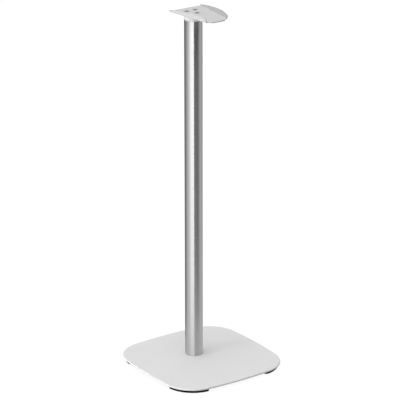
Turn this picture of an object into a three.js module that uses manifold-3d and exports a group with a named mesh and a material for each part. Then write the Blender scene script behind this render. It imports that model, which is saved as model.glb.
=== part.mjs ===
// A floor stand for one small loudspeaker: a rounded steel plate on four rubber feet, one round
// aluminium column that stands behind the plate's centre, and a bent sheet bracket on top.
// Millimetres, +Z up, front towards -Y, origin on the floor under the centre of the base plate.

import * as THREE from "three";
import { mergeVertices } from "three/addons/utils/BufferGeometryUtils.js";
import Module from "manifold-3d";

const wasm = await Module();
wasm.setup();

// ---------------------------------------------------------------- driving dimensions

// Base plate: cut steel with bowed sides
const PLATE_WIDTH = 300; // along X, at the middle of the bowed sides
const PLATE_DEPTH = 300; // along Y
const PLATE_THICKNESS = 4;
const PLATE_SIDE_BOW = 1000; // radius of each long, slightly bowed side
const PLATE_CORNER = 72; // corner radius
const PLATE_EDGE = 0.5; // broken edge, above and below

// Corner feet: curved rubber bars that follow the plate's corners
const FOOT_HEIGHT = 7;
const FOOT_INSET = 5; // from the plate's edge to the foot's outer wall
const FOOT_WIDTH = 14;
const FOOT_HALF_SPAN = THREE.MathUtils.degToRad(38);

// Column: extruded aluminium tube with three screw ports along its inner wall
const COLUMN_LENGTH = 778.5;
const COLUMN_DIAMETER = 40;
const COLUMN_WALL = 2;
const COLUMN_SETBACK = 29; // its axis lies this far behind the plate's centre
const PORT_INSET = 5.8; // from the column's outer face to a port's centre
const PORT_WALL = 2;
const PORT_ANGLES = { front: -90, rear_right: 40, rear_left: 140 }; // degrees round the axis

// Collar: moulded ring between the column and the bracket, with a spigot into the tube
const COLLAR_HEIGHT = 15;
const COLLAR_EDGE = 0.6;
const SPIGOT_LENGTH = 8;
const SPIGOT_WALL = 2.5;
const SPIGOT_CLEARANCE = 0.4; // to the screw ports round it
const COLLAR_ROOF = 5; // what the hollow in the collar leaves at its top

// Bracket: bent steel sheet, wide at the back, with an arched wing along each side
const SHEET = 2.5;
const WEB_BEHIND = 31.5; // from the column's axis to the back edge
const WEB_AHEAD = 94.5; // and to the middle of the front edge
const WEB_HALF_BACK = 39.5; // half of the width between the folds, at the back edge
const FOLD_TAPER = THREE.MathUtils.degToRad(7); // each fold runs in towards the front
const WEB_NOSE = 8.5; // how far the front edge's middle lies ahead of the wings
const WEB_CORNER = 14; // radius that leads from the front edge back to each wing
const WING_RISE = THREE.MathUtils.degToRad(70); // from the web's plane
const BEND_RADIUS = 1.5; // inside of the fold
const WING_BACK = 2.5; // free edge above the fold, along the wing: at the back end,
const WING_PEAK = 11.3; // at the top of the arch
const WING_FRONT = 6.5; // and at the front end
const WING_PEAK_AT = 88; // from the back end to the top of the arch
const WING_CORNER = 3;

// Screws: M5 with countersunk heads, cross recess above and hexagon socket below
const THREAD = 5;
const THREAD_GAP = 0.3; // round the shank, in the ports and the through holes
const HEAD_GAP = 0.3; // between a head's cone and its seat
const HEAD_SUNK = 0.1; // below the face that it is sunk into
const TOP_SCREW = { length: 40, head: 9.2, rim: 0.25 };
const BASE_SCREW = { length: 30, head: 10, rim: 0.4 };
const SCREW_POINT = 0.8; // chamfer at the shank's end
const CROSS = { span: 5, slot: 1.1, depth: 1.6 };
const HEXAGON = { across: 3, depth: 1.8 };

// Steps in a circle: on the column and the collar, and in small round holes and shanks
const ROUND = 48;
const SMALL_ROUND = 24;
// Steps in one arc of an outline, and round one bend
const ARC = 16;
const BEND = 8;

// ---------------------------------------------------------------- places that follow

const plateBottom = FOOT_HEIGHT;
const columnBottom = plateBottom + PLATE_THICKNESS;
const columnTop = columnBottom + COLUMN_LENGTH;
const bracketBottom = columnTop + COLLAR_HEIGHT;
const bracketTop = bracketBottom + SHEET;
const columnRadius = COLUMN_DIAMETER / 2;
const portCircle = columnRadius - PORT_INSET;
const holeRadius = THREAD / 2 + THREAD_GAP;
const portRadius = holeRadius + PORT_WALL;
const wingAhead = WEB_AHEAD - WEB_NOSE; // from the column's axis to the wings' front ends
const wingLength = (WEB_BEHIND + wingAhead) / Math.cos(FOLD_TAPER);

const portPlaces = Object.entries(PORT_ANGLES).map(([side, degrees]) => {
  const angle = THREE.MathUtils.degToRad(degrees);
  return { side, angle, x: portCircle * Math.cos(angle), y: portCircle * Math.sin(angle) };
});

// ---------------------------------------------------------------- materials

const finish = (color, roughness, metalness) =>
  new THREE.MeshStandardMaterial({ color, roughness, metalness });

const whitePowderCoat = finish("#e4e5e6", 0.5, 0);
const palePowderCoat = finish("#d8d9da", 0.5, 0); // the bracket's, a shade greyer
const blackRubber = finish("#141414", 0.85, 0);
const satinAluminium = finish("#d4d5d6", 0.35, 1);
const whiteMoulding = finish("#e6e6e6", 0.35, 0);
const zincSteel = finish("#b9bbbe", 0.35, 1);

// ---------------------------------------------------------------- solids

// A closed geometry becomes a solid that can be joined and cut; a mirroring matrix is turned back.
function solid(geometry, matrix = new THREE.Matrix4()) {
  const bare = geometry.index ? geometry.toNonIndexed() : geometry.clone();
  bare.deleteAttribute("normal");
  bare.deleteAttribute("uv");
  bare.applyMatrix4(matrix);
  const merged = mergeVertices(bare, 1e-4);
  const triVerts = new Uint32Array(merged.index.array);
  if (matrix.determinant() < 0) triVerts.reverse();
  const vertProperties = merged.attributes.position.array;
  return new wasm.Manifold(new wasm.Mesh({ numProp: 3, vertProperties, triVerts }));
}

function geometryOf(body) {
  const { vertProperties, triVerts } = body.getMesh();
  const geometry = new THREE.BufferGeometry();
  geometry.setAttribute("position", new THREE.BufferAttribute(vertProperties, 3));
  geometry.setIndex(new THREE.BufferAttribute(triVerts, 1));
  const faceted = geometry.toNonIndexed();
  faceted.computeVertexNormals();
  return faceted;
}

function extrude(shape, depth, steps, extra = {}) {
  // three.js gives an arc twice the steps that it is asked for
  const options = { depth, curveSegments: Math.round(steps / 2), bevelEnabled: false, ...extra };
  return new THREE.ExtrudeGeometry(shape, options);
}

const lathe = (points, steps) =>
  new THREE.LatheGeometry(
    points.map(([radius, z]) => new THREE.Vector2(radius, z)),
    steps,
  ).rotateX(Math.PI / 2);

const moved = (x, y, z) => new THREE.Matrix4().makeTranslation(x, y, z);

// ---------------------------------------------------------------- base plate

// Where a corner arc is centred: inside both bowed sides, touching each.
function plateCornerCentre() {
  const reach = PLATE_SIDE_BOW - PLATE_CORNER;
  const backX = PLATE_SIDE_BOW - PLATE_WIDTH / 2;
  const backY = PLATE_SIDE_BOW - PLATE_DEPTH / 2;
  // Both side arcs' centres are `reach` from it, so it lies on the line y = slope * x + lift
  const slope = backX / backY;
  const lift = (backX ** 2 - backY ** 2) / (2 * backY);
  const a = 1 + slope ** 2;
  const b = 2 * (backX + slope * lift);
  const c = backX ** 2 + lift ** 2 - reach ** 2;
  const x = (-b + Math.sqrt(b ** 2 - 4 * a * c)) / (2 * a);
  return { x, y: slope * x + lift, backX, backY };
}

const corner = plateCornerCentre();

function plateOutline(inset) {
  const bow = PLATE_SIDE_BOW - inset;
  const round = PLATE_CORNER - inset;
  const side = Math.atan2(corner.y, corner.x + corner.backX); // half angle of the side walls
  const end = Math.atan2(corner.y + corner.backY, corner.x); // where the end walls begin
  const shape = new THREE.Shape();
  shape.absarc(-corner.backX, 0, bow, -side, side);
  shape.absarc(corner.x, corner.y, round, side, end);
  shape.absarc(0, -corner.backY, bow, end, Math.PI - end);
  shape.absarc(-corner.x, corner.y, round, Math.PI - end, Math.PI - side);
  shape.absarc(corner.backX, 0, bow, Math.PI - side, Math.PI + side);
  shape.absarc(-corner.x, -corner.y, round, Math.PI + side, Math.PI + end);
  shape.absarc(0, corner.backY, bow, Math.PI + end, 2 * Math.PI - end);
  shape.absarc(corner.x, -corner.y, round, 2 * Math.PI - end, 2 * Math.PI - side);
  return shape;
}

// Cutter for a countersunk hole: its mouth is at z = 0 and the hole runs down through `depth`.
function countersink({ head, rim }, depth) {
  const mouth = head / 2 + HEAD_GAP;
  const coneTop = -HEAD_SUNK - rim;
  const above = 1;
  return lathe(
    [
      [0, -depth],
      [holeRadius, -depth],
      [holeRadius, coneTop + holeRadius - mouth],
      [mouth, coneTop],
      [mouth, above],
      [0, above],
    ],
    SMALL_ROUND,
  );
}

function basePlate() {
  const blank = extrude(plateOutline(PLATE_EDGE), PLATE_THICKNESS - 2 * PLATE_EDGE, ARC, {
    bevelEnabled: true,
    bevelThickness: PLATE_EDGE,
    bevelSize: PLATE_EDGE,
    bevelSegments: 1,
  }).translate(0, 0, plateBottom + PLATE_EDGE);
  let plate = solid(blank);
  const sink = countersink(BASE_SCREW, 2 * PLATE_THICKNESS).rotateX(Math.PI);
  for (const { x, y } of portPlaces) {
    plate = plate.subtract(solid(sink, moved(x, COLUMN_SETBACK + y, plateBottom)));
  }
  return geometryOf(plate);
}

// ---------------------------------------------------------------- corner feet

// A bar bent round the corner's centre, symmetrical about +X, with round ends.
function cornerFoot() {
  const outer = PLATE_CORNER - FOOT_INSET;
  const inner = outer - FOOT_WIDTH;
  const middle = (outer + inner) / 2;
  const cap = FOOT_WIDTH / 2;
  const end = FOOT_HALF_SPAN;
  const capAt = [middle * Math.cos(end), middle * Math.sin(end)];
  const shape = new THREE.Shape();
  shape.absarc(0, 0, outer, -end, end);
  shape.absarc(capAt[0], capAt[1], cap, end, end + Math.PI);
  shape.absarc(0, 0, inner, end, -end, true);
  shape.absarc(capAt[0], -capAt[1], cap, Math.PI - end, 2 * Math.PI - end);
  return extrude(shape, FOOT_HEIGHT, ARC);
}

// ---------------------------------------------------------------- column

// The tube's section: the round wall, with a port bulging in from it at each screw place.
function columnTube() {
  const shape = new THREE.Shape();
  shape.absarc(0, 0, columnRadius, 0, 2 * Math.PI);
  const wall = columnRadius - COLUMN_WALL;
  // A port's circle leaves the inner wall at `spread` round the axis, `turn` round the port
  const squares = portCircle ** 2 + wall ** 2 - portRadius ** 2;
  const spread = Math.acos(squares / (2 * portCircle * wall));
  const turn = Math.acos((wall * Math.cos(spread) - portCircle) / portRadius);
  const inside = new THREE.Path();
  portPlaces.forEach(({ angle, x, y }, index) => {
    const next = portPlaces[(index + 1) % portPlaces.length].angle;
    const until = next > angle ? next : next + 2 * Math.PI;
    inside.absarc(x, y, portRadius, angle - turn, angle + turn - 2 * Math.PI, true);
    inside.absarc(0, 0, wall, angle + spread, until - spread);
  });
  shape.holes.push(inside);
  for (const { x, y } of portPlaces) {
    const bore = new THREE.Path();
    bore.absarc(x, y, holeRadius, 0, 2 * Math.PI);
    shape.holes.push(bore);
  }
  return extrude(shape, COLUMN_LENGTH, ROUND);
}

// ---------------------------------------------------------------- collar

function topCollar() {
  const spigot = portCircle - portRadius - SPIGOT_CLEARANCE;
  const hollow = spigot - SPIGOT_WALL;
  const ring = lathe(
    [
      [0, COLLAR_HEIGHT - COLLAR_ROOF],
      [hollow, COLLAR_HEIGHT - COLLAR_ROOF],
      [hollow, -SPIGOT_LENGTH],
      [spigot - COLLAR_EDGE, -SPIGOT_LENGTH],
      [spigot, COLLAR_EDGE - SPIGOT_LENGTH],
      [spigot, 0],
      [columnRadius - COLLAR_EDGE, 0],
      [columnRadius, COLLAR_EDGE],
      [columnRadius, COLLAR_HEIGHT - COLLAR_EDGE],
      [columnRadius - COLLAR_EDGE, COLLAR_HEIGHT],
      [0, COLLAR_HEIGHT],
    ],
    ROUND,
  );
  let collar = solid(ring);
  const hole = countersink(TOP_SCREW, 2 * COLLAR_HEIGHT);
  for (const { x, y } of portPlaces) {
    collar = collar.subtract(solid(hole, moved(x, y, COLLAR_HEIGHT + SHEET)));
  }
  return geometryOf(collar);
}

// ---------------------------------------------------------------- bracket

// The bend starts this far inside the fold's sharp corner, on the web and on the wing alike.
const bendStart = BEND_RADIUS * Math.tan(WING_RISE / 2);
const FOLD_FLAT = 2; // strip of the web that belongs to the fold's section

// The flat web, top face at z = 0. Its sides end inside the flat that each fold's section adds.
// Each front corner's arc touches the front edge, and ends where the wing does.
function bracketWeb() {
  const back = WEB_HALF_BACK - (bendStart + FOLD_FLAT / 2) / Math.cos(FOLD_TAPER);
  const front = back - (WEB_BEHIND + wingAhead) * Math.tan(FOLD_TAPER);
  const sweep = Math.acos(1 - WEB_NOSE / WEB_CORNER);
  const centre = { x: front - WEB_CORNER * Math.sin(sweep), y: WEB_CORNER - WEB_AHEAD };
  const down = -Math.PI / 2;
  const outline = new THREE.Shape();
  outline.moveTo(back, WEB_BEHIND);
  outline.lineTo(-back, WEB_BEHIND);
  outline.absarc(-centre.x, centre.y, WEB_CORNER, down - sweep, down);
  outline.absarc(centre.x, centre.y, WEB_CORNER, down, down + sweep);
  return extrude(outline, SHEET, ARC).translate(0, 0, -SHEET);
}

// Section of the fold: part of the web, the bend and the wing up to `reach`. The fold's sharp
// corner is the origin, X points outwards and Y up.
function foldSection(reach) {
  const onWeb = bendStart + FOLD_FLAT;
  const along = new THREE.Vector2(Math.cos(WING_RISE), Math.sin(WING_RISE));
  const outward = new THREE.Vector2(along.y, -along.x).multiplyScalar(SHEET);
  const tip = along.clone().multiplyScalar(reach);
  const quarter = Math.PI / 2;
  const shape = new THREE.Shape();
  shape.moveTo(-onWeb, 0);
  shape.lineTo(-onWeb, -SHEET);
  shape.absarc(-bendStart, BEND_RADIUS, BEND_RADIUS + SHEET, -quarter, WING_RISE - quarter);
  shape.lineTo(tip.x + outward.x, tip.y + outward.y);
  shape.lineTo(tip.x, tip.y);
  shape.absarc(-bendStart, BEND_RADIUS, BEND_RADIUS, WING_RISE - quarter, -quarter, true);
  return shape;
}

// Face of the wing: X runs forwards along the fold, Y up the wing from the fold to the free edge.
function wingFace(below) {
  const round = new THREE.Vector2(wingLength - WING_CORNER, WING_FRONT - WING_CORNER);
  const halfAhead = new THREE.Vector2((WING_PEAK_AT + wingLength) / 2, WING_PEAK);
  // The round corner ends where a line to the arch's control point leaves it as a tangent
  const toArch = halfAhead.clone().sub(round);
  const leave = toArch.angle() - Math.acos(WING_CORNER / toArch.length());
  const shape = new THREE.Shape();
  shape.moveTo(0, -below);
  shape.lineTo(wingLength, -below);
  shape.absarc(round.x, round.y, WING_CORNER, 0, leave);
  shape.quadraticCurveTo(halfAhead.x, halfAhead.y, WING_PEAK_AT, WING_PEAK);
  shape.quadraticCurveTo(WING_PEAK_AT / 2, WING_PEAK, 0, WING_BACK);
  return shape;
}

// The right-hand wing with its bend, its fold's back end at the origin and running towards -Y.
function bracketWing() {
  const spare = 20;
  const bar = extrude(foldSection(WING_PEAK + SHEET), wingLength, BEND);
  bar.rotateX(Math.PI / 2);
  const face = extrude(wingFace(spare), 2 * spare, ARC).translate(0, 0, -spare);
  // The face's X goes to -Y, and its Y to the wing's slope
  const slope = new THREE.Matrix4().makeBasis(
    new THREE.Vector3(0, -1, 0),
    new THREE.Vector3(Math.cos(WING_RISE), 0, Math.sin(WING_RISE)),
    new THREE.Vector3(-Math.sin(WING_RISE), 0, Math.cos(WING_RISE)),
  );
  return solid(bar).intersect(solid(face, slope));
}

function speakerBracket() {
  let bracket = solid(bracketWeb());
  const wing = geometryOf(bracketWing());
  const place = moved(WEB_HALF_BACK, WEB_BEHIND, 0).multiply(
    new THREE.Matrix4().makeRotationZ(-FOLD_TAPER),
  );
  const mirror = new THREE.Matrix4().makeScale(-1, 1, 1);
  bracket = bracket.add(solid(wing, place)).add(solid(wing, mirror.multiply(place)));
  const sink = countersink(TOP_SCREW, 2 * SHEET);
  for (const { x, y } of portPlaces) bracket = bracket.subtract(solid(sink, moved(x, y, 0)));
  return geometryOf(bracket);
}

// ---------------------------------------------------------------- screws

// A countersunk screw, its head's flat face at z = 0 and its shank hanging down.
function screwBlank({ length, head, rim }) {
  const shank = THREAD / 2;
  return lathe(
    [
      [0, -length],
      [shank - SCREW_POINT, -length],
      [shank, SCREW_POINT - length],
      [shank, shank - head / 2 - rim],
      [head / 2, -rim],
      [head / 2, 0],
      [0, 0],
    ],
    SMALL_ROUND,
  );
}

function topScrew() {
  const { span, slot, depth } = CROSS;
  const arm = new THREE.BoxGeometry(span, slot, 2 * depth);
  const turned = new THREE.Matrix4().makeRotationZ(Math.PI / 2);
  const cross = solid(arm).add(solid(arm, turned));
  return geometryOf(solid(screwBlank(TOP_SCREW)).subtract(cross));
}

function baseScrew() {
  const { across, depth } = HEXAGON;
  const socket = new THREE.CylinderGeometry(across / Math.sqrt(3), across / Math.sqrt(3), 2 * depth, 6);
  socket.rotateX(Math.PI / 2);
  return geometryOf(solid(screwBlank(BASE_SCREW)).subtract(solid(socket)));
}

// ---------------------------------------------------------------- assembly

function piece(name, geometry, material, x = 0, y = 0, z = 0) {
  const mesh = new THREE.Mesh(geometry, material);
  mesh.name = name;
  mesh.position.set(x, y, z);
  return mesh;
}

const stand = new THREE.Group();
stand.add(piece("base_plate", basePlate(), whitePowderCoat));

const foot = cornerFoot();
for (const [row, ySign] of [["front", -1], ["rear", 1]]) {
  for (const [side, xSign] of [["left", -1], ["right", 1]]) {
    const mesh = piece(
      `corner_foot_${row}_${side}`,
      foot,
      blackRubber,
      xSign * corner.x,
      ySign * corner.y,
    );
    mesh.rotation.z = Math.atan2(ySign, xSign);
    stand.add(mesh);
  }
}

// Everything on the column's axis
const column = new THREE.Group();
column.position.set(0, COLUMN_SETBACK, 0);
stand.add(column);

column.add(piece("column_tube", columnTube(), satinAluminium, 0, 0, columnBottom));
column.add(piece("top_collar", topCollar(), whiteMoulding, 0, 0, columnTop));
column.add(piece("speaker_bracket", speakerBracket(), palePowderCoat, 0, 0, bracketTop));

const topScrewShape = topScrew();
const baseScrewShape = baseScrew();
for (const { side, x, y } of portPlaces) {
  column.add(
    piece(`bracket_screw_${side}`, topScrewShape, zincSteel, x, y, bracketTop - HEAD_SUNK),
  );
  const bolt = piece(`base_screw_${side}`, baseScrewShape, zincSteel, x, y, plateBottom + HEAD_SUNK);
  bolt.rotation.x = Math.PI;
  column.add(bolt);
}

export default stand;
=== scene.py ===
# %% [markdown]
# # A floor stand for a small loudspeaker
# A white steel plate lies on four rubber feet. A round aluminium column stands on it, a little
# behind the middle, and a bent sheet bracket on top of the column holds the loudspeaker. The
# engineering model already fixes where each piece is, so the first step loads it as a frame that
# never moves. Another way would be to model everything here, but then sizes could drift.

# %% Load the frame and keep its box
import math

import bmesh
import bpy
from mathutils import Matrix, Vector


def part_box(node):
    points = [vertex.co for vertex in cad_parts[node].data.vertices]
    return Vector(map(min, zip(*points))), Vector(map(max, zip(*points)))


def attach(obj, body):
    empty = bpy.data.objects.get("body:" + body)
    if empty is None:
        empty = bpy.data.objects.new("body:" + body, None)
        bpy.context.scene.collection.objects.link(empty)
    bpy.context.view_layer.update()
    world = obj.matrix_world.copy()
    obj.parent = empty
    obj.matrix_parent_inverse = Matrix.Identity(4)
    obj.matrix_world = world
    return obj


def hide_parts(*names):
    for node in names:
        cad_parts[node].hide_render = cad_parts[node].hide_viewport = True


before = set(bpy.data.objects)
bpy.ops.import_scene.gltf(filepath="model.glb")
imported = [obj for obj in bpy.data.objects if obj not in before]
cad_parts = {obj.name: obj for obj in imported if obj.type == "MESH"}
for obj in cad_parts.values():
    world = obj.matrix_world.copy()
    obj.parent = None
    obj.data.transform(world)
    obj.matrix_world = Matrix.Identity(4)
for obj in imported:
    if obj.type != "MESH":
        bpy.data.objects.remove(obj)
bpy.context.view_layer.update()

# %% [markdown]
# ## Millimetres
# Workshop drawings are in millimetres, and Blender's scene is in metres. Each piece here is drawn
# in millimetres and turned to metres once, when its mesh is handed over. The sizes that the frame
# already holds are read from it, so that each new piece lands exactly on the one it stands for.

# %% Read the main places from the frame
MM = 0.001


def box_mm(node):
    """Lowest and highest corner of a frame node, in millimetres."""
    low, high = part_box(node)
    return low / MM, high / MM


plate_low, plate_high = box_mm("base_plate")
foot_low, foot_high = box_mm("corner_foot_front_left")
column_low, column_high = box_mm("column_tube")
axis_x = (column_low.x + column_high.x) / 2
axis_y = (column_low.y + column_high.y) / 2
column_radius = (column_high.x - column_low.x) / 2
print("column axis:", round(axis_x, 2), round(axis_y, 2), "radius:", round(column_radius, 2))

# %% [markdown]
# ## Camera
# A product picture of something tall is taken from far away with a long lens, so that its upright
# edges stay nearly parallel. The camera looks 20 degrees down from the front left. It is placed by
# its distance and its two angles round the point that it aims at, which is easier to correct than
# a bare position.

# %% Place the camera
CAMERA_AZIMUTH = math.radians(-34.9)
CAMERA_ELEVATION = math.radians(19.98)
CAMERA_ROLL = math.radians(-0.06)
CAMERA_DISTANCE = 5287 * MM
CAMERA_AIM = Vector((11.34, 21.1, 377.0)) * MM
LENS = 216  # on a sensor 36 wide

level = math.cos(CAMERA_ELEVATION)
to_camera = Vector((
    math.sin(CAMERA_AZIMUTH) * level,
    -math.cos(CAMERA_AZIMUTH) * level,
    math.sin(CAMERA_ELEVATION),
))
camera_data = bpy.data.cameras.new("camera")
camera_data.lens = LENS
camera_data.sensor_width = 36
camera = bpy.data.objects.new("camera", camera_data)
bpy.context.scene.collection.objects.link(camera)
turn = to_camera.to_track_quat("Z", "Y").to_matrix() @ Matrix.Rotation(CAMERA_ROLL, 3, "Z")
camera.matrix_world = Matrix.Translation(CAMERA_AIM + CAMERA_DISTANCE * to_camera) @ turn.to_4x4()
bpy.context.scene.camera = camera
bpy.context.scene.view_settings.view_transform = "Standard"
print("camera at", [round(value, 3) for value in camera.matrix_world.translation])

# %% [markdown]
# ## Colour and node helpers
# Colours are written as sRGB hex codes, as a paint chart gives them, and a shader wants linear
# light, so one function turns them. A second one adds a node with its settings and its inputs in
# one call, which keeps each material readable as a short recipe.

# %% Helpers for materials
def srgb(code):
    """An sRGB hex colour as the linear colour that a shader uses."""
    channels = [int(code[place:place + 2], 16) / 255 for place in (1, 3, 5)]
    return [c / 12.92 if c <= 0.04045 else ((c + 0.055) / 1.055) ** 2.4 for c in channels] + [1.0]


def add(tree, kind, inputs=None, **settings):
    """Adds one node. Each input is a plain value, or the output socket that feeds it."""
    made = tree.nodes.new(kind)
    for name, value in settings.items():
        setattr(made, name, value)
    for name, value in (inputs or {}).items():
        if isinstance(value, bpy.types.NodeSocket):
            tree.links.new(value, made.inputs[name])
        else:
            made.inputs[name].default_value = value
    return made


def empty_material(name):
    """A node material with nothing in it but its output."""
    material = bpy.data.materials.new(name)
    material.use_nodes = True
    material.node_tree.nodes.clear()
    return material, material.node_tree


def per_metre(size_mm):
    """Texture scale that gives features of this size."""
    return 1 / (size_mm * MM)


print("white powder coat as linear light:", [round(c, 3) for c in srgb("#E3E3E3")[:3]])

# %% [markdown]
# ## Powder coat
# The plate and the bracket are steel, powder coated white: charged powder is sprayed on and melted
# in an oven. It leaves an even, slightly glossy film with a faint orange peel, which breaks up a
# reflection without looking rough. The peel is about a millimetre on the real film. It is drawn
# twice as coarse here, because a finer one can't be seen at this distance. A slow second noise
# shifts the gloss a little, as an uneven film does. The bracket gets a greyer copy of the same
# coat: its grey is painted shade, which makes the bracket darker than the plate under the same
# lamps. So the recipe takes its two tones as values.

# %% Powder coat
PEEL = 2.2  # millimetres from crest to crest
FILM_PATCH = 45  # millimetres, size of the patches where the film is thicker or thinner


def powder_coat(name, dark, pale):
    """Painted steel. The film's tone wanders between dark and pale."""
    material, tree = empty_material(name)
    place = add(tree, "ShaderNodeTexCoord").outputs["Object"]
    peel = add(tree, "ShaderNodeTexNoise",
               {"Vector": place, "Scale": per_metre(PEEL), "Detail": 2.0, "Roughness": 0.5})
    patch = add(tree, "ShaderNodeTexNoise",
                {"Vector": place, "Scale": per_metre(FILM_PATCH), "Detail": 1.0})
    gloss = add(tree, "ShaderNodeMapRange",
                {"Value": patch.outputs["Fac"], "From Min": 0.3, "From Max": 0.7,
                 "To Min": 0.38, "To Max": 0.46})
    tone = add(tree, "ShaderNodeMix",
               {"Factor": patch.outputs["Fac"], "A": srgb(dark), "B": srgb(pale)},
               data_type="RGBA")
    bump = add(tree, "ShaderNodeBump",
               {"Height": peel.outputs["Fac"], "Strength": 0.25, "Distance": 0.05 * MM})
    shader = add(tree, "ShaderNodeBsdfPrincipled",
                 {"Base Color": tone.outputs["Result"], "Roughness": gloss.outputs["Result"],
                  "Normal": bump.outputs["Normal"], "IOR": 1.5})
    add(tree, "ShaderNodeOutputMaterial", {"Surface": shader.outputs["BSDF"]})
    return material


PLATE_COAT = powder_coat("powder_coat_white", "#E1E1E1", "#E5E5E5")
# The bracket's copy of the coat is greyer: painted shade, which darkens it against the plate.
SHADED_BRACKET_COAT = powder_coat("powder_coat_white_painted_shade", "#D3D3D3", "#D7D7D7")
print("made", PLATE_COAT.name, SHADED_BRACKET_COAT.name)

# %% [markdown]
# ## Anodised aluminium
# The column is an aluminium extrusion. A belt grinds it while it turns, so very fine lines run
# round it, and then it is anodised to a satin silver. Such lines spread a reflection along the
# tube and hardly at all round it: that is why its bright and dark bands have sharp sides, and
# still fade softly into each other towards the plate. The shader's anisotropy does the same. Its
# tangent runs round the tube, and a quarter turn points the spread along it. The lines themselves
# are finer than a tenth of a millimetre. They are drawn much coarser here, or they would vanish,
# and as noise that is squeezed along the tube and stretched round it.

# %% Anodised aluminium
BELT_LINE = 0.9  # millimetres from one line to the next, along the tube
BELT_LINE_LENGTH = 30  # millimetres, round the tube


def anodised_aluminium():
    """Bare metal whose lines spread a reflection up and down the tube."""
    material, tree = empty_material("anodised_aluminium_satin")
    place = add(tree, "ShaderNodeTexCoord").outputs["Object"]
    along = per_metre(BELT_LINE)
    across = per_metre(BELT_LINE_LENGTH)
    stretched = add(tree, "ShaderNodeMapping",
                    {"Vector": place, "Scale": (across, across, along)})
    round_tube = add(tree, "ShaderNodeTangent", direction_type="RADIAL", axis="Z")
    lines = add(tree, "ShaderNodeTexNoise",
                {"Vector": stretched.outputs["Vector"], "Scale": 1.0, "Detail": 3.0})
    gloss = add(tree, "ShaderNodeMapRange",
                {"Value": lines.outputs["Fac"], "From Min": 0.3, "From Max": 0.7,
                 "To Min": 0.33, "To Max": 0.38})
    tone = add(tree, "ShaderNodeMix",
               {"Factor": lines.outputs["Fac"], "A": srgb("#D2D2D3"), "B": srgb("#D7D7D7")},
               data_type="RGBA")
    bump = add(tree, "ShaderNodeBump",
               {"Height": lines.outputs["Fac"], "Strength": 0.1, "Distance": 0.002 * MM})
    shader = add(tree, "ShaderNodeBsdfPrincipled",
                 {"Base Color": tone.outputs["Result"], "Metallic": 1.0,
                  "Roughness": gloss.outputs["Result"], "Normal": bump.outputs["Normal"],
                  "Anisotropic": 1.0, "Anisotropic Rotation": 0.25,
                  "Tangent": round_tube.outputs["Tangent"]})
    add(tree, "ShaderNodeOutputMaterial", {"Surface": shader.outputs["BSDF"]})
    return material


ALUMINIUM = anodised_aluminium()
print("made", ALUMINIUM.name)

# %% [markdown]
# ## Moulded plastic, rubber and zinc plate
# The collar is injection moulded ABS, white and a little glossier than the powder coat, since it
# copies its steel mould. The feet are moulded rubber, nearly black and matt, with the fine grain
# that a spark-eroded mould gives, and they reflect very little. The screws are zinc plated: a pale
# grey metal with a cloudy gloss. All three differ in colour, gloss and grain only, so one recipe
# takes these as its values.

# %% Moulded plastic, rubber and zinc plate
GLOSS_SPREAD = 0.04  # how far the roughness wanders to either side


def fine_grained(name, dark, pale, roughness, grain_mm, depth_mm, metallic=0.0, ior=1.5,
                 specular=0.5):
    """A surface with one fine grain that shifts its tone and gloss and dents it a little."""
    material, tree = empty_material(name)
    place = add(tree, "ShaderNodeTexCoord").outputs["Object"]
    grain = add(tree, "ShaderNodeTexNoise",
                {"Vector": place, "Scale": per_metre(grain_mm), "Detail": 3.0})
    tone = add(tree, "ShaderNodeMix",
               {"Factor": grain.outputs["Fac"], "A": srgb(dark), "B": srgb(pale)},
               data_type="RGBA")
    gloss = add(tree, "ShaderNodeMapRange",
                {"Value": grain.outputs["Fac"], "From Min": 0.3, "From Max": 0.7,
                 "To Min": roughness - GLOSS_SPREAD, "To Max": roughness + GLOSS_SPREAD})
    bump = add(tree, "ShaderNodeBump",
               {"Height": grain.outputs["Fac"], "Strength": 0.3, "Distance": depth_mm * MM})
    shader = add(tree, "ShaderNodeBsdfPrincipled",
                 {"Base Color": tone.outputs["Result"], "Metallic": metallic, "IOR": ior,
                  "Specular IOR Level": specular, "Roughness": gloss.outputs["Result"],
                  "Normal": bump.outputs["Normal"]})
    add(tree, "ShaderNodeOutputMaterial", {"Surface": shader.outputs["BSDF"]})
    return material


MOULDED_ABS = fine_grained("abs_white_moulded", "#E5E5E5", "#E7E7E7", 0.28, 1.5, 0.003,
                           ior=1.54)
RUBBER = fine_grained("rubber_black_moulded", "#040404", "#0A0A0A", 0.8, 1.0, 0.08, ior=1.52,
                      specular=0.15)
ZINC_PLATE = fine_grained("zinc_plate_clear", "#A6A8AA", "#BCBEC0", 0.3, 1.5, 0.01,
                          metallic=1.0)
print("made", MOULDED_ABS.name, RUBBER.name, ZINC_PLATE.name)

# %% [markdown]
# ## Drawing helpers
# Every piece here is a flat outline carried through space: pulled straight up, or spun. A drawing
# office would draw each outline from arcs, and so does `loop`: it spins one vertex round each
# arc's centre and welds the arcs' ends. `skin` bridges such loops into a wall, and `lid` fills the
# area between an outer loop and the holes in it. A subdivided box could be smoothed into the same
# shapes, but its round corners would never be true arcs.

# %% Drawing helpers
WELD = 0.001  # millimetres
FLAT = 0.99  # a face that leans less than this cosine from level is shaded flat


def loop(bm, arcs, z):
    """A closed loop of edges at height z.

    An arc is (centre x, centre y, radius, start, sweep, steps).
    """
    before = set(bm.edges)
    for x, y, radius, start, sweep, steps in arcs:
        first = bm.verts.new((x + radius * math.cos(start), y + radius * math.sin(start), z))
        whole = abs(abs(sweep) - 2 * math.pi) < 1e-6
        bmesh.ops.spin(bm, geom=[first], cent=(x, y, z), axis=(0, 0, 1), angle=sweep,
                       steps=steps, use_merge=whole)
    new_edges = [edge for edge in bm.edges if edge not in before]
    new_verts = list({vert for edge in new_edges for vert in edge.verts})
    bmesh.ops.remove_doubles(bm, verts=new_verts, dist=WELD)
    return [edge for edge in bm.edges if edge not in before]


def circle(x, y, radius, steps):
    """A whole circle, as the list of arcs that loop() takes."""
    return [(x, y, radius, 0, 2 * math.pi, steps)]


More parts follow.
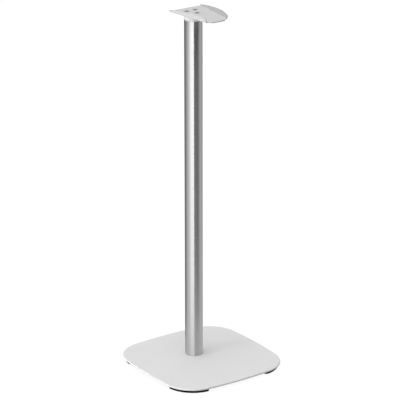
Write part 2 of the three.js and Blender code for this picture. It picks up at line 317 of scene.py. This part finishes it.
def skin(bm, loops):
    """Walls between each loop and the next."""
    for lower, upper in zip(loops, loops[1:]):
        bmesh.ops.bridge_loops(bm, edges=lower + upper)


def lid(bm, loops):
    """A flat face between an outer loop and the holes in it."""
    edges = [edge for ring in loops for edge in ring]
    bmesh.ops.triangle_fill(bm, edges=edges, use_beauty=True)


def rounded_levels(low, high, radius, steps=4):
    """(inset, z) from the bottom to the top of a wall whose two edges are rounded."""
    quarter = [math.pi / 2 * step / steps for step in range(steps + 1)]
    lower = [(radius * (1 - math.sin(a)), low + radius * (1 - math.cos(a))) for a in quarter]
    return lower + [(inset, low + high - z) for inset, z in reversed(lower)]


def hand_over(bm, name, material, node):
    """Turns the drawing to metres and lets the piece stand for its node."""
    bmesh.ops.recalc_face_normals(bm, faces=bm.faces)
    for face in bm.faces:
        face.smooth = abs(face.normal.z) < FLAT
    bmesh.ops.scale(bm, vec=(MM, MM, MM), verts=bm.verts)
    mesh = bpy.data.meshes.new(name)
    bm.to_mesh(mesh)
    bm.free()
    mesh.materials.append(material)
    piece = bpy.data.objects.new(name, mesh)
    bpy.context.scene.collection.objects.link(piece)
    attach(piece, "root")
    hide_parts(node)
    print(name, len(mesh.polygons), "faces")
    return piece


print("a 1 mm edge is rounded through", len(rounded_levels(0, 10, 1)) // 2, "levels")

# %% [markdown]
# ## Base plate
# The plate is cut from 4 mm steel, and its edges are rounded so that the coating holds on them.
# Its outline is a square with round corners whose sides bow out a little: four long arcs and four
# short ones, each touching the next. Where a corner's centre lies follows from the two radii. The
# holes for the screws that hold the column are countersunk from below, so nothing shows from
# above.

# %% Base plate
PLATE_BOW = 1000  # radius of a side
PLATE_CORNER = 72
PLATE_ROUNDING = 1.1
SIDE_STEPS = 24
CORNER_STEPS = 32
HOLE_STEPS = 48
SCREW_CLEARANCE = 2.8  # radius of a screw's through hole
BASE_SINK = 5.3  # radius of the countersink's mouth
BASE_SINK_DEPTH = 3.0
PORT_INSET = 5.8  # from the column's face to a screw's centre
PORT_ANGLES = [math.radians(degrees) for degrees in (-90, 40, 140)]

half_width = (plate_high.x - plate_low.x) / 2
bow_back = PLATE_BOW - half_width  # a side arc's centre lies this far beyond the plate's centre
reach = PLATE_BOW - PLATE_CORNER
corner_place = (math.sqrt(2 * reach ** 2 - bow_back ** 2) - bow_back) / 2
side_angle = math.atan2(corner_place, corner_place + bow_back)
port_circle = column_radius - PORT_INSET
ports = [(axis_x + port_circle * math.cos(a), axis_y + port_circle * math.sin(a))
         for a in PORT_ANGLES]


def plate_outline(inset):
    """Four sides and four corners, anticlockwise from the right-hand side."""
    arcs = []
    for quarter in range(4):
        facing = quarter * math.pi / 2
        diagonal = facing + math.pi / 4
        side_x = -bow_back * math.cos(facing)
        side_y = -bow_back * math.sin(facing)
        out = corner_place * math.sqrt(2)
        corner_x = out * math.cos(diagonal)
        corner_y = out * math.sin(diagonal)
        arcs.append((side_x, side_y, PLATE_BOW - inset, facing - side_angle, 2 * side_angle,
                     SIDE_STEPS))
        arcs.append((corner_x, corner_y, PLATE_CORNER - inset, facing + side_angle,
                     math.pi / 2 - 2 * side_angle, CORNER_STEPS))
    return arcs


def base_plate():
    """The coated plate, with three countersunk holes from below."""
    bm = bmesh.new()
    low, high = plate_low.z, plate_high.z
    walls = [loop(bm, plate_outline(inset), z)
             for inset, z in rounded_levels(low, high, PLATE_ROUNDING)]
    skin(bm, walls)
    mouths, tops = [], []
    for x, y in ports:
        mouth = loop(bm, circle(x, y, BASE_SINK, HOLE_STEPS), low)
        waist = loop(bm, circle(x, y, SCREW_CLEARANCE, HOLE_STEPS), low + BASE_SINK_DEPTH)
        top = loop(bm, circle(x, y, SCREW_CLEARANCE, HOLE_STEPS), high)
        skin(bm, [mouth, waist, top])
        mouths.append(mouth)
        tops.append(top)
    lid(bm, [walls[0]] + mouths)
    lid(bm, [walls[-1]] + tops)
    return hand_over(bm, "plate_of_coated_steel", PLATE_COAT, "base_plate")


base_plate()

# %% [markdown]
# ## Corner feet
# Each foot is a rubber bar bent round the plate's corner, a little inside its edge, with round
# ends. It lifts the plate off the floor and keeps it from sliding, and from above only a black
# crescent of it shows. Its outline is two arcs round the corner's centre and a half circle at each
# end.

# %% Corner feet
FOOT_INSET = 5
FOOT_WIDTH = 14
FOOT_HALF_SPAN = math.radians(38)
FOOT_ROUNDING = 0.5
FOOT_STEPS = 32
FOOT_END_STEPS = 16


def foot_outline(x, y, facing, inset):
    """A bar bent round the corner's centre at x, y, with a half circle at each end."""
    outer = PLATE_CORNER - FOOT_INSET
    middle = outer - FOOT_WIDTH / 2
    inner = outer - FOOT_WIDTH
    start = facing - FOOT_HALF_SPAN
    end = facing + FOOT_HALF_SPAN
    cap = FOOT_WIDTH / 2 - inset
    ends = [(x + middle * math.cos(a), y + middle * math.sin(a)) for a in (start, end)]
    return [
        (x, y, outer - inset, start, 2 * FOOT_HALF_SPAN, FOOT_STEPS),
        (*ends[1], cap, end, math.pi, FOOT_END_STEPS),
        (x, y, inner + inset, end, -2 * FOOT_HALF_SPAN, FOOT_STEPS),
        (*ends[0], cap, start + math.pi, math.pi, FOOT_END_STEPS),
    ]


def corner_foot(row, side, x_sign, y_sign):
    """One rubber foot, under the corner that the two signs point to."""
    bm = bmesh.new()
    x, y = x_sign * corner_place, y_sign * corner_place
    facing = math.atan2(y_sign, x_sign)
    walls = [loop(bm, foot_outline(x, y, facing, inset), z)
             for inset, z in rounded_levels(foot_low.z, foot_high.z, FOOT_ROUNDING)]
    skin(bm, walls)
    lid(bm, [walls[0]])
    lid(bm, [walls[-1]])
    hand_over(bm, f"rubber_foot_{row}_{side}", RUBBER, f"corner_foot_{row}_{side}")


for row, y_sign in (("front", -1), ("rear", 1)):
    for side, x_sign in (("left", -1), ("right", 1)):
        corner_foot(row, side, x_sign, y_sign)

# %% [markdown]
# ## Column
# The die gives the tube its section: a thin round wall, with a screw port at three places inside.
# The section is pulled up to the tube's length, so it is drawn once at each end and bridged. Only
# the outside shows, and it needs many steps, because polished metal shows every flat.

# %% Column
COLUMN_WALL = 2
PORT_WALL = 2
COLUMN_ROUNDING = 0.7
COLUMN_STEPS = 160
PORT_STEPS = 32


def column_inside():
    """The inner wall, with the three ports bulging in from it."""
    wall = column_radius - COLUMN_WALL
    port = SCREW_CLEARANCE + PORT_WALL
    squares = port_circle ** 2 + wall ** 2 - port ** 2
    spread = math.acos(squares / (2 * port_circle * wall))
    swing = math.acos((wall * math.cos(spread) - port_circle) / port)
    arcs = []
    following = PORT_ANGLES[1:] + [PORT_ANGLES[0] + 2 * math.pi]
    for angle, until, (x, y) in zip(PORT_ANGLES, following, ports):
        arcs.append((x, y, port, angle - swing, 2 * swing - 2 * math.pi, PORT_STEPS))
        arcs.append((axis_x, axis_y, wall, angle + spread, until - angle - 2 * spread,
                     PORT_STEPS))
    return arcs


def column():
    """The extruded tube: outside, inner wall with its ports, and the ports' bores."""
    bm = bmesh.new()
    low, high = column_low.z, column_high.z
    outside = [loop(bm, circle(axis_x, axis_y, column_radius - inset, COLUMN_STEPS), z)
               for inset, z in rounded_levels(low, high, COLUMN_ROUNDING, 3)]
    skin(bm, outside)
    inside = [loop(bm, column_inside(), z) for z in (low, high)]
    skin(bm, inside)
    bores = [[loop(bm, circle(x, y, SCREW_CLEARANCE, PORT_STEPS), z) for z in (low, high)]
             for x, y in ports]
    for bore in bores:
        skin(bm, bore)
    lid(bm, [outside[0], inside[0]] + [bore[0] for bore in bores])
    lid(bm, [outside[-1], inside[-1]] + [bore[1] for bore in bores])
    return hand_over(bm, "extruded_column", ALUMINIUM, "column_tube")


column()

# %% [markdown]
# ## Collar
# The collar is a moulded ring as wide as the column. Its spigot centres it in the tube, and the
# bracket rests on its top. It is turned from a half section, so one spin makes it, and the small
# radius on its two outer edges gives the fine shadow line where it meets the tube.

# %% Collar
COLLAR_ROUNDING = 0.6
SPIGOT_RADIUS = 9.0
SPIGOT_HOLLOW = 6.5
COLLAR_ROOF = 5
COLLAR_STEPS = 128

collar_low, collar_high = box_mm("top_collar")


def collar():
    """The moulded ring, spun from its half section."""
    bm = bmesh.new()
    seat = column_high.z
    outside = rounded_levels(seat, collar_high.z, COLLAR_ROUNDING)
    profile = [(0, collar_high.z - COLLAR_ROOF), (SPIGOT_HOLLOW, collar_high.z - COLLAR_ROOF),
               (SPIGOT_HOLLOW, collar_low.z), (SPIGOT_RADIUS, collar_low.z), (SPIGOT_RADIUS, seat)]
    profile += [(column_radius - inset, z) for inset, z in outside] + [(0, collar_high.z)]
    verts = [bm.verts.new((axis_x + radius, axis_y, z)) for radius, z in profile]
    edges = [bm.edges.new(pair) for pair in zip(verts, verts[1:])]
    bmesh.ops.spin(bm, geom=verts + edges, cent=(axis_x, axis_y, 0), axis=(0, 0, 1),
                   angle=2 * math.pi, steps=COLLAR_STEPS, use_merge=True)
    bmesh.ops.remove_doubles(bm, verts=bm.verts, dist=WELD)
    return hand_over(bm, "moulded_collar", MOULDED_ABS, "top_collar")


collar()

# %% [markdown]
# ## Bracket
# The bracket starts as a flat blank of 2.5 mm sheet, cut to shape with its three screw holes, and
# a press brake bends up the wing on each side. It is made here in the same order. The blank is a
# flat face whose wings have an arched outer edge. Cuts along each fold divide the bend into
# strips, and each strip's outer part is turned a little about its cut, the outermost first. So
# the bend gets its true radius, and the wings keep their shape. The thickness and the rounded
# edges come last, from modifiers, because they follow the folded face.

# %% Bracket: the flat blank
SHEET = 2.5
WEB_BEHIND = 31.5  # from the column's axis to the back edge
WEB_AHEAD = 94.5  # and to the middle of the front edge
WEB_HALF_BACK = 39.5  # half of the width between the folds, at the back edge
FOLD_TAPER = math.radians(7)
WEB_NOSE = 8.5  # how far the front edge's middle lies ahead of the wings
WEB_CORNER = 14
WING_RISE = math.radians(70)
BEND_RADIUS = 1.5
WING_BACK = 2.5
WING_PEAK = 11.3
WING_FRONT = 6.5
WING_PEAK_AT = 88
WING_CORNER = 3
NOTCH = 1  # the web is this much narrower in front of the wings
TOP_SINK = 5.4  # radius of a screw hole's mouth
ARCH_STEPS = 40
WING_CORNER_STEPS = 8
WEB_CORNER_STEPS = 12

sheet_top = collar_high.z + SHEET
wing_length = (WEB_BEHIND + WEB_AHEAD - WEB_NOSE) / math.cos(FOLD_TAPER)
bend_start = BEND_RADIUS * math.tan(WING_RISE / 2)  # from the fold's sharp corner
bend_width = BEND_RADIUS * WING_RISE  # how much sheet the bend takes
fold_back = Vector((WEB_HALF_BACK, WEB_BEHIND))
fold_along = Vector((-math.sin(FOLD_TAPER), -math.cos(FOLD_TAPER)))
fold_out = Vector((math.cos(FOLD_TAPER), -math.sin(FOLD_TAPER)))


def on_blank(along, up):
    """A point on the right-hand wing before it is bent: along the fold, and up the wing."""
    return fold_back + along * fold_along + (up - 2 * bend_start + bend_width) * fold_out


def arch(along):
    """Height of the wing's free edge above the fold."""
    if along < WING_PEAK_AT:
        share = 1 - along / WING_PEAK_AT
        return WING_PEAK - (WING_PEAK - WING_BACK) * share ** 2
    share = (along - WING_PEAK_AT) / (wing_length - WING_PEAK_AT)
    return WING_PEAK - (WING_PEAK - WING_FRONT) * share ** 2


def blank_right_half():
    """Outline from the back edge, round the wing, to the middle of the front edge."""
    points = [fold_back - bend_start * fold_out]
    last = wing_length - WING_CORNER
    stations = [last * step / ARCH_STEPS for step in range(ARCH_STEPS)]
    points += [on_blank(along, arch(along)) for along in stations]
    centre_up = arch(last) - WING_CORNER
    for step in range(WING_CORNER_STEPS + 1):
        a = math.pi / 2 * (1 - step / WING_CORNER_STEPS)
        points.append(on_blank(last + WING_CORNER * math.cos(a),
                               centre_up + WING_CORNER * math.sin(a)))
    points.append(fold_back - bend_start * fold_out + wing_length * fold_along)
    notch = points[-1] - NOTCH * fold_out
    sweep = math.acos(1 - WEB_NOSE / WEB_CORNER)
    centre_x = notch.x - WEB_CORNER * math.sin(sweep)
    for step in range(WEB_CORNER_STEPS + 1):
        a = sweep * (1 - step / WEB_CORNER_STEPS)
        points.append(Vector((centre_x + WEB_CORNER * math.sin(a),
                              WEB_CORNER * (1 - math.cos(a)) - WEB_AHEAD)))
    return points


right_half = blank_right_half()
print("the blank's half outline has", len(right_half), "points")

# %% [markdown]
# The half outline is mirrored to close it, and the holes are filled round. Then comes the bending.
# A vertex's distance from the fold is measured while the sheet is flat, because that is how the
# brake's stop finds the line.

# %% Bracket: cut, bend and thicken
STRIPS = 8  # across each bend
EDGE_ROUNDING = 0.45
EDGE_ROUNDING_STEPS = 3
SHARP = math.radians(40)  # edges sharper than this are rounded


def bent_sheet():
    """The blank, cut, folded and lifted to its place, still without thickness."""
    bm = bmesh.new()
    outline = right_half + [Vector((-p.x, p.y)) for p in reversed(right_half)]
    verts = [bm.verts.new((p.x, p.y, 0)) for p in outline]
    rim = [bm.edges.new(pair) for pair in zip(verts, verts[1:] + verts[:1])]
    holes = [loop(bm, circle(x - axis_x, y - axis_y, TOP_SINK, HOLE_STEPS), 0)
             for x, y in ports]
    lid(bm, [rim] + holes)
    for side in (1, -1):
        out = Vector((side * fold_out.x, fold_out.y, 0))
        along = Vector((side * fold_along.x, fold_along.y, 0))
        back = Vector((side * fold_back.x, fold_back.y, 0))
        cuts = [back + (strip / STRIPS * bend_width - bend_start) * out
                for strip in range(STRIPS + 1)]
        for cut in cuts:
            bmesh.ops.bisect_plane(bm, geom=bm.verts[:] + bm.edges[:] + bm.faces[:],
                                   plane_co=cut, plane_no=out, dist=WELD)
        beyond = {vert: (vert.co - back).dot(out) for vert in bm.verts}
        for cut in reversed(cuts):
            stop = (cut - back).dot(out) + WELD
            outer = [vert for vert, far in beyond.items() if far > stop]
            bmesh.ops.rotate(bm, verts=outer, cent=cut,
                             matrix=Matrix.Rotation(side * WING_RISE / (STRIPS + 1), 3, along))
    bmesh.ops.translate(bm, verts=bm.verts, vec=(axis_x, axis_y, sheet_top))
    return bm


def bracket():
    """The folded sheet with its thickness and its rounded edges."""
    piece = hand_over(bent_sheet(), "bent_bracket", SHADED_BRACKET_COAT, "speaker_bracket")
    for face in piece.data.polygons:
        face.use_smooth = True
    thickness = piece.modifiers.new("sheet", "SOLIDIFY")
    thickness.thickness = SHEET * MM
    thickness.offset = -1
    thickness.use_even_offset = True
    edges = piece.modifiers.new("edges", "BEVEL")
    edges.width = EDGE_ROUNDING * MM
    edges.segments = EDGE_ROUNDING_STEPS
    edges.limit_method = "ANGLE"
    edges.angle_limit = SHARP
    edges.harden_normals = True
    return piece


bracket()

# %% [markdown]
# ## Screws
# The screws are turned and stamped parts whose shape the engineering model already has, with a
# cross recess on top and a hexagon socket below. So they keep their meshes and get only their
# zinc plate.

# %% Screws
screw_nodes = [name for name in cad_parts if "_screw_" in name]
for name in screw_nodes:
    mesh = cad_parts[name].data
    mesh.materials.clear()
    mesh.materials.append(ZINC_PLATE)
print(len(screw_nodes), "screws plated")

# %% [markdown]
# ## Studio
# The picture has a pure white background, a bright side to the left and a darker one to the
# right. A photographer gets this with white paper below, a large soft lamp overhead, a low one on
# the left, and white and black cards round the tube, since metal shows mostly what stands round
# it. The cards are drawn in the world, as brightness by compass direction, and only reflections
# see them. The camera sees white, and matt surfaces get an even light from all sides. Real card
# meshes would do the same but would stand in the way of any other view.

# %% World: white for the camera, cards for the reflections
AMBIENT = 0.40  # how strongly the world lights matt surfaces
CEILING = 1.1  # brightness of a white ceiling above the cards
CARD_TOP = (math.radians(25), math.radians(50))  # the cards give way to the ceiling between these
# Direction from the camera's side, in degrees to the right, and brightness there
CARDS = [
    (-180, 0.45), (-165, 0.12), (-140, 0.12),  # a dark card behind, on the left
    (-90, 0.5), (-60, 0.85), (-35, 1.84), (-4, 1.84),  # a white card, brighter towards the front
    (-2, 2.9), (2, 2.9),  # a strip lamp on the camera's side
    (3.5, 0.03), (58, 0.02),  # a black card in front, on the right
    (90, 0.55), (115, 0.52), (141, 0.28),  # a grey card on the right
    (144, 0.85), (155, 0.85),  # a narrow white card behind
    (159, 0.28), (180, 0.45),
]


def by_compass(tree, place, levels):
    """A grey level that depends on the compass direction of a place, seen from the stand."""
    camera_side = math.atan2(to_camera.y, to_camera.x)
    turned = add(tree, "ShaderNodeMapping", {"Vector": place, "Rotation": (0, 0, -camera_side)})
    parts = add(tree, "ShaderNodeSeparateXYZ", {"Vector": turned.outputs["Vector"]})
    compass = add(tree, "ShaderNodeMath", {0: parts.outputs["Y"], 1: parts.outputs["X"]},
                  operation="ARCTAN2")
    share = add(tree, "ShaderNodeMapRange",
                {"Value": compass.outputs["Value"], "From Min": -math.pi, "From Max": math.pi})
    ramp_node = add(tree, "ShaderNodeValToRGB", {"Fac": share.outputs["Result"]})
    ramp = ramp_node.color_ramp
    for degrees, level in levels[1:-1]:
        ramp.elements.new(degrees / 360 + 0.5).color = (level, level, level, 1)
    for element, (degrees, level) in zip((ramp.elements[0], ramp.elements[-1]),
                                         (levels[0], levels[-1])):
        element.color = (level, level, level, 1)
    return ramp_node.outputs["Color"]


def studio_world():
    """White for the camera, cards and ceiling for reflections, an even light for the rest."""
    world = bpy.data.worlds.new("studio")
    world.use_nodes = True
    tree = world.node_tree
    tree.nodes.clear()
    direction = add(tree, "ShaderNodeTexCoord").outputs["Generated"]
    parts = add(tree, "ShaderNodeSeparateXYZ", {"Vector": direction})
    height = add(tree, "ShaderNodeMapRange",
                 {"Value": parts.outputs["Z"], "From Min": math.sin(CARD_TOP[0]),
                  "From Max": math.sin(CARD_TOP[1])}, interpolation_type="SMOOTHSTEP")
    reflected = add(tree, "ShaderNodeMix",
                    {"Factor": height.outputs["Result"], "A": by_compass(tree, direction, CARDS),
                     "B": (CEILING, CEILING, CEILING, 1)}, data_type="RGBA")
    ray = add(tree, "ShaderNodeLightPath").outputs
    seen = add(tree, "ShaderNodeMix",
               {"Factor": ray["Is Glossy Ray"], "A": (1, 1, 1, 1),
                "B": reflected.outputs["Result"]}, data_type="RGBA")
    strength = add(tree, "ShaderNodeMix",
                   {"Factor": ray["Is Diffuse Ray"], "A": 1.0, "B": AMBIENT})
    light = add(tree, "ShaderNodeBackground",
                {"Color": seen.outputs["Result"], "Strength": strength.outputs["Result"]})
    add(tree, "ShaderNodeOutputWorld", {"Surface": light.outputs["Background"]})
    bpy.context.scene.world = world


studio_world()
print("world has", len(CARDS), "card edges")

# %% [markdown]
# ## Lamps and floor
# The overhead lamp is large and soft, so the plate's top is even and the shadows have no edge. A
# sun does its work here: its wide angle gives the softness, and its light doesn't fall off
# between the bracket and the plate. The low lamp on the left lights every face that looks that
# way. The floor is white paper. The camera sees it mixed with white light, which leaves only a
# soft shadow of the stand. In the metal the paper is replaced by a glow whose brightness is set
# by direction, a painted reflection: it shows close to the plate, most of all on the left, and it
# fades out with distance, so that the cards show there.

# %% Lamps and floor
def lamp(name, kind, towards, level, **settings):
    """A lamp that the metal doesn't show. towards points from the object to the lamp."""
    data = bpy.data.lights.new(name, kind)
    data.energy = level
    for setting, value in settings.items():
        setattr(data, setting, value)
    made = bpy.data.objects.new(name, data)
    bpy.context.scene.collection.objects.link(made)
    place = Vector(towards)
    facing = place.to_track_quat("Z", "Y").to_matrix().to_4x4()
    made.matrix_world = Matrix.Translation(place) @ facing
    made.visible_camera = False
    made.visible_glossy = False
    return made


FLOOR_RADIUS = 6.0
FLOOR_STEPS = 96
FLOOR_TONE = "#BCBCBC"  # what the floor sends back to the stand
FLOOR_WHITENED = 0.9  # how much of the floor the camera sees as plain white
FLOOR_WHITE = 1.03  # a little above 1, so that the open floor is pure white
FLOOR_PALE = (0.27, 0.5)  # brightness of the floor in the metal: least, and more where it shows
# Direction, as for the cards, and how strongly the metal shows the floor there, close to the plate
FLOOR_IN_METAL = [
    (-180, 0.5), (-130, 0.3), (-115, 0.4),  # behind, on the left
    (-100, 1.0), (-65, 1.0),  # on the left
    (-50, 0.5), (2, 0.5), (8, 0.6), (35, 0.6), (60, 0.4),  # on the camera's side
    (95, 0.8), (125, 0.8), (180, 0.55),  # on the right and behind
]
FLOOR_FADE = (0.2, 2.6)  # metres from the middle, where it starts and ends
OVERHEAD = 0.545 * math.pi  # at pi, a sun alone shows a level surface in its own tone
OVERHEAD_FROM = (-0.62, 0.02, 3.0)
OVERHEAD_ANGLE = math.radians(75)
LOW_LEFT = 59  # watts
LOW_LEFT_FROM = (-2.6, 0.33, 0.13)
LOW_LEFT_SIZE = 0.7


def floor_paper():
    """White paper that keeps a soft shadow. The metal sees it only close by, as a glow: a painted
    reflection.
    """
    material, tree = empty_material("white_paper")
    place = add(tree, "ShaderNodeTexCoord").outputs["Object"]
    distance = add(tree, "ShaderNodeVectorMath", {0: place}, operation="LENGTH")
    near = add(tree, "ShaderNodeMapRange",
               {"Value": distance.outputs["Value"], "From Min": FLOOR_FADE[0],
                "From Max": FLOOR_FADE[1], "To Min": 1.0, "To Max": 0.0},
               interpolation_type="SMOOTHERSTEP")
    facing = by_compass(tree, place, FLOOR_IN_METAL)
    shown = add(tree, "ShaderNodeMath", {0: near.outputs["Result"], 1: facing},
                operation="MULTIPLY")
    brightness = add(tree, "ShaderNodeMath", {0: facing, 1: FLOOR_PALE[1], 2: FLOOR_PALE[0]},
                     operation="MULTIPLY_ADD")
    ray = add(tree, "ShaderNodeLightPath").outputs
    paper = add(tree, "ShaderNodeBsdfDiffuse", {"Color": srgb(FLOOR_TONE)})
    bright_paper = add(tree, "ShaderNodeBsdfDiffuse", {"Color": (1, 1, 1, 1)})
    white = add(tree, "ShaderNodeEmission", {"Color": (1, 1, 1, 1), "Strength": FLOOR_WHITE})
    seen = add(tree, "ShaderNodeMixShader",
               {0: FLOOR_WHITENED, 1: bright_paper.outputs[0], 2: white.outputs[0]})
    clear = add(tree, "ShaderNodeBsdfTransparent")
    # In the metal the paper is this emission, its strength set by direction: a painted reflection.
    pale = add(tree, "ShaderNodeEmission",
               {"Color": (1, 1, 1, 1), "Strength": brightness.outputs["Value"]})
    reflected = add(tree, "ShaderNodeMixShader",
                    {0: shown.outputs["Value"], 1: clear.outputs[0], 2: pale.outputs[0]})
    for_camera = add(tree, "ShaderNodeMixShader",
                     {0: ray["Is Camera Ray"], 1: paper.outputs[0], 2: seen.outputs[0]})
    for_metal = add(tree, "ShaderNodeMixShader",
                    {0: ray["Is Glossy Ray"], 1: for_camera.outputs[0], 2: reflected.outputs[0]})
    add(tree, "ShaderNodeOutputMaterial", {"Surface": for_metal.outputs[0]})
    return material


def floor():
    """A round sheet of paper under the stand."""
    bm = bmesh.new()
    bmesh.ops.create_circle(bm, cap_ends=True, radius=FLOOR_RADIUS, segments=FLOOR_STEPS)
    mesh = bpy.data.meshes.new("floor")
    bm.to_mesh(mesh)
    bm.free()
    mesh.materials.append(floor_paper())
    paper = bpy.data.objects.new("floor", mesh)
    bpy.context.scene.collection.objects.link(paper)


floor()
lamp("overhead", "SUN", OVERHEAD_FROM, OVERHEAD, angle=OVERHEAD_ANGLE)
lamp("low_left", "AREA", LOW_LEFT_FROM, LOW_LEFT, shape="DISK", size=LOW_LEFT_SIZE)
